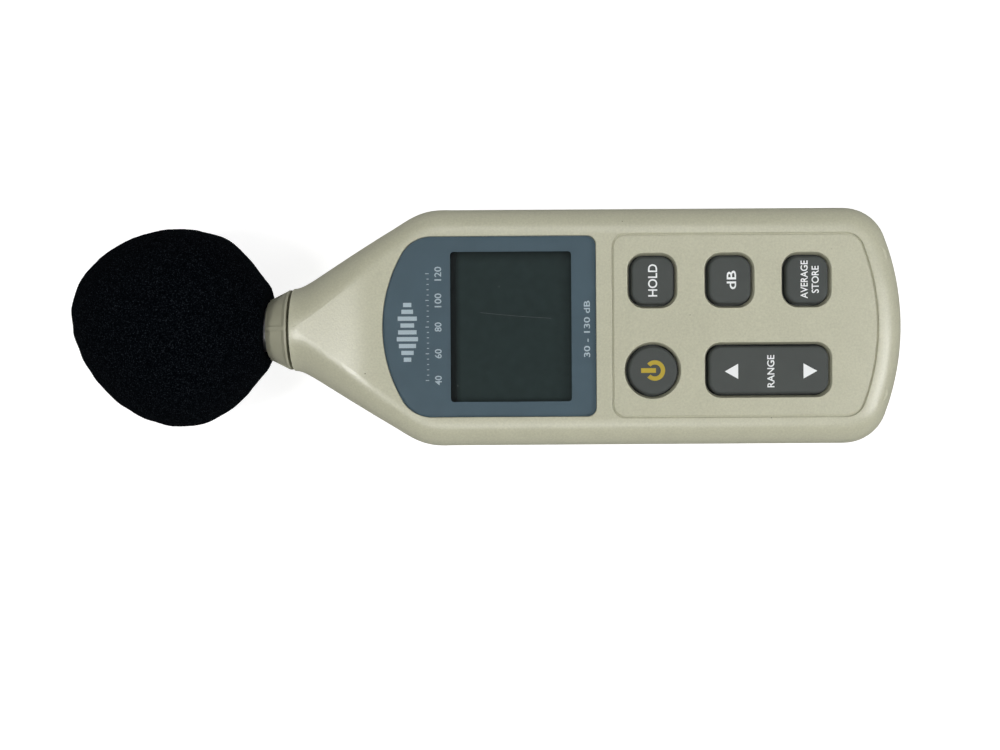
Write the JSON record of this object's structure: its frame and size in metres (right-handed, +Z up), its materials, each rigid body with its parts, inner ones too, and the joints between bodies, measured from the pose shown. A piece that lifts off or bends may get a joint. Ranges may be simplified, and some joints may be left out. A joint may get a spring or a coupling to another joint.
{
  "type": "sound level meter",
  "caption": "Hand-held sound level meter lying on its back: foam ball windscreen on a tapered neck, blank display behind a lens, round, square and rocker keys.",
  "frame": {"origin": "centre of the bounding box's underside: the point of the table under the middle of the meter as it lies on its back", "axes": "+X along the meter from the foam windscreen to the base end, +Y across it, towards the side with the ports, +Z up, out of the display face"},
  "size_m": [0.2478, 0.07, 0.0555],
  "materials": {
    "casing": "fine-textured cream-grey ABS",
    "collar": "cream-grey ABS",
    "lens": "clear acrylic",
    "bezel_print": "blue-grey ink behind the lens",
    "lcd": "dark grey-green liquid crystal",
    "white_plastic": "white",
    "black_plastic": "black",
    "conductive_rubber": "black",
    "key_rubber": "dark grey silicone",
    "mat_rubber": "grey silicone",
    "board": "green solder mask",
    "gold": "gold-plated",
    "brass": "turned",
    "steel": "bright",
    "mic_metal": "satin",
    "foam": "open-cell black foam",
    "cell_sleeve": "printed sleeve",
    "coax": "black",
    "trimmer_blue": "blue"
  },
  "bodies": {
    "meter": {"front_shell": "casing", "back_shell": "casing", "nose_collar": "collar", "display_lens": "lens", "lens_mask": "bezel_print", "lcd_glass": "lcd", "lcd_holder": "white_plastic", "backlight": "white_plastic", "zebra_strip": "conductive_rubber", "main_board": "board", "contact_pads": "gold", "keypad_mat": "mat_rubber", "mic_bush": "mat_rubber", "mic_tube": "mic_metal", "mic_capsule": "mic_metal", "mic_grid": "mic_metal", "mic_plug": "black_plastic", "mic_coax": "coax", "mic_diaphragm": "gold", "mic_backplate": "black_plastic", "usb_socket": "steel", "usb_tongue": "black_plastic", "output_jack": "black_plastic", "trimmer_body": "trimmer_blue", "main_ic": "black_plastic", "memory_chip": "black_plastic", "preamp_shield": "steel", "battery_springs": "steel", "battery_plates": "steel", "tripod_insert": "brass", "case_screws": "steel", "board_screws": "steel", "battery_1": "cell_sleeve", "battery_2": "cell_sleeve", "battery_3": "cell_sleeve", "battery_4": "cell_sleeve"},
    "power_button": {"power_key": "key_rubber", "power_pill": "conductive_rubber"},
    "hold_button": {"hold_key": "key_rubber", "hold_pill": "conductive_rubber"},
    "weighting_button": {"weighting_key": "key_rubber", "weighting_pill": "conductive_rubber"},
    "response_button": {"response_key": "key_rubber", "response_pill": "conductive_rubber"},
    "range_rocker": {"range_key": "key_rubber", "range_pill": "conductive_rubber"},
    "windscreen": {"windscreen": "foam"},
    "battery_cover": {"battery_cover": "casing"},
    "calibration_rotor": {"trimmer_rotor": "white_plastic"}
  },
  "joints": [
    {"name": "power_press", "type": "slide", "parent": "meter", "child": "power_button", "axis": [-0.0334, 0, -0.9994], "range_m": [0, 0.001], "stiffness_N_per_m": 500, "springref_m": -0.001},
    {"name": "hold_press", "type": "slide", "parent": "meter", "child": "hold_button", "axis": [-0.0334, 0, -0.9994], "range_m": [0, 0.001], "stiffness_N_per_m": 500, "springref_m": -0.001},
    {"name": "weighting_press", "type": "slide", "parent": "meter", "child": "weighting_button", "axis": [-0.0334, 0, -0.9994], "range_m": [0, 0.001], "stiffness_N_per_m": 500, "springref_m": -0.001},
    {"name": "response_press", "type": "slide", "parent": "meter", "child": "response_button", "axis": [-0.0334, 0, -0.9994], "range_m": [0, 0.001], "stiffness_N_per_m": 500, "springref_m": -0.001},
    {"name": "range_rock", "type": "hinge", "parent": "meter", "child": "range_rocker", "pos_m": [0.0832, -0.0131, 0.03109], "axis": [0, 1, 0], "range_deg": [-2.3, 2.3], "stiffness_Nm_per_rad": 0.5},
    {"name": "windscreen_pull", "type": "slide", "parent": "meter", "child": "windscreen", "axis": [-0.9994, 0, 0.0334], "range_m": [0, 0.04]},
    {"name": "battery_cover_slide", "type": "slide", "parent": "meter", "child": "battery_cover", "axis": [0.9994, 0, -0.0334], "range_m": [0, 0.07]},
    {"name": "calibration_turn", "type": "hinge", "parent": "meter", "child": "calibration_rotor", "pos_m": [0.08068, 0.029, 0.02597], "axis": [0, 1, 0], "range_deg": [-135, 135]}
  ]
}
